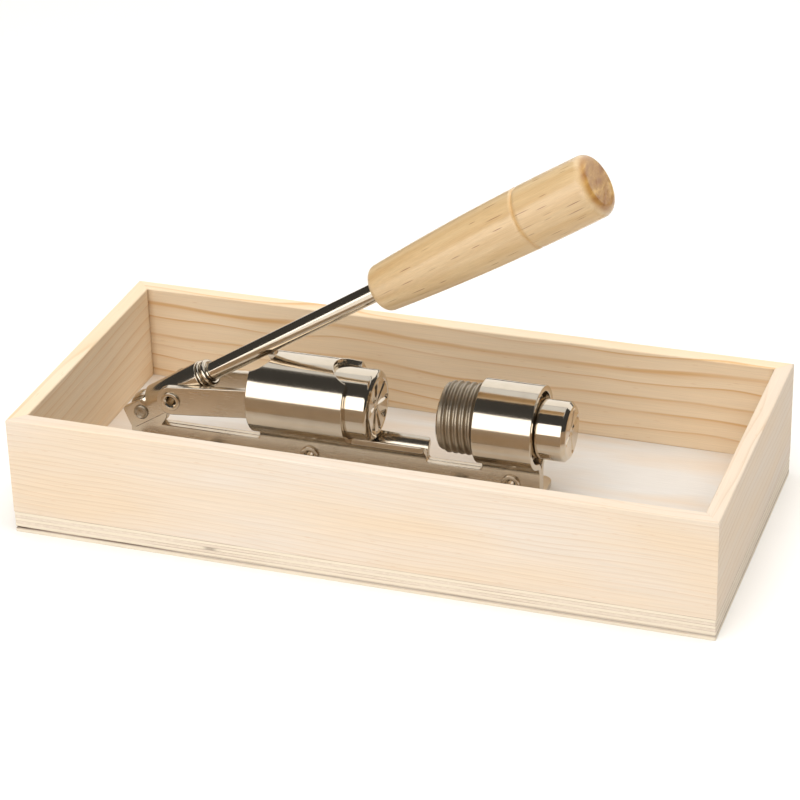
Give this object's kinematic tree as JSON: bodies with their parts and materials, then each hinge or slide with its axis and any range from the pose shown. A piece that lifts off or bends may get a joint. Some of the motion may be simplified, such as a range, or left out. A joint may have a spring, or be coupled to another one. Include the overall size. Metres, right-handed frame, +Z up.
{
  "type": "lever nutcracker",
  "caption": "Lever nutcracker on an open wooden tray: a hand lever drives a plunger through link plates towards a threaded anvil.",
  "frame": {"origin": "middle of the tray's underside", "axes": "+X along the tray from the lever's pivot to the anvil, +Y to the back, +Z up"},
  "size_m": [0.34, 0.158, 0.1894],
  "materials": {
    "pine": "satin",
    "birch_ply": "satin",
    "beech": "gloss",
    "nickel_sheet": "polished",
    "nickel_bar": "polished",
    "nickel_hardware": "polished",
    "zinc_steel": "satin"
  },
  "bodies": {
    "base": {"tray_front": "pine", "tray_back": "pine", "tray_left": "pine", "tray_right": "pine", "tray_bottom": "birch_ply", "bracket": "nickel_sheet", "web_rivets": "nickel_hardware", "foot_screws": "zinc_steel"},
    "lever": {"yoke": "nickel_sheet", "rod_collar": "nickel_hardware", "rod": "nickel_bar", "handle": "beech", "pivot_pin": "zinc_steel", "pivot_washers": "zinc_steel", "link_rivet": "nickel_hardware"},
    "links": {"link_near": "nickel_sheet", "link_far": "nickel_sheet"},
    "plunger": {"plunger": "nickel_bar", "wrist_pin": "zinc_steel", "wrist_spacer": "zinc_steel"},
    "anvil": {"anvil": "nickel_bar"}
  },
  "joints": [
    {"name": "lever", "type": "hinge", "parent": "base", "child": "lever", "pos_m": [-0.1336, 0, 0.0332], "axis": [0, -1, 0], "range_deg": [0, 65]},
    {"name": "link", "type": "hinge", "parent": "lever", "child": "links", "pos_m": [-0.11604, 0, 0.04318], "axis": [0, -1, 0], "range_deg": [-73, 0]},
    {"name": "plunger_slide", "type": "slide", "parent": "base", "child": "plunger", "axis": [1, 0, 0], "range_m": [-0.0183, 0]},
    {"name": "anvil_feed", "type": "slide", "parent": "base", "child": "anvil", "axis": [1, 0, 0], "range_m": [-0.008, 0.014]}
  ],
  "couplings": [
    {"joint": "link", "follows": "lever", "ratio": -1.117},
    {"joint": "plunger_slide", "follows": "lever", "m_per_rad": -0.01605}
  ]
}
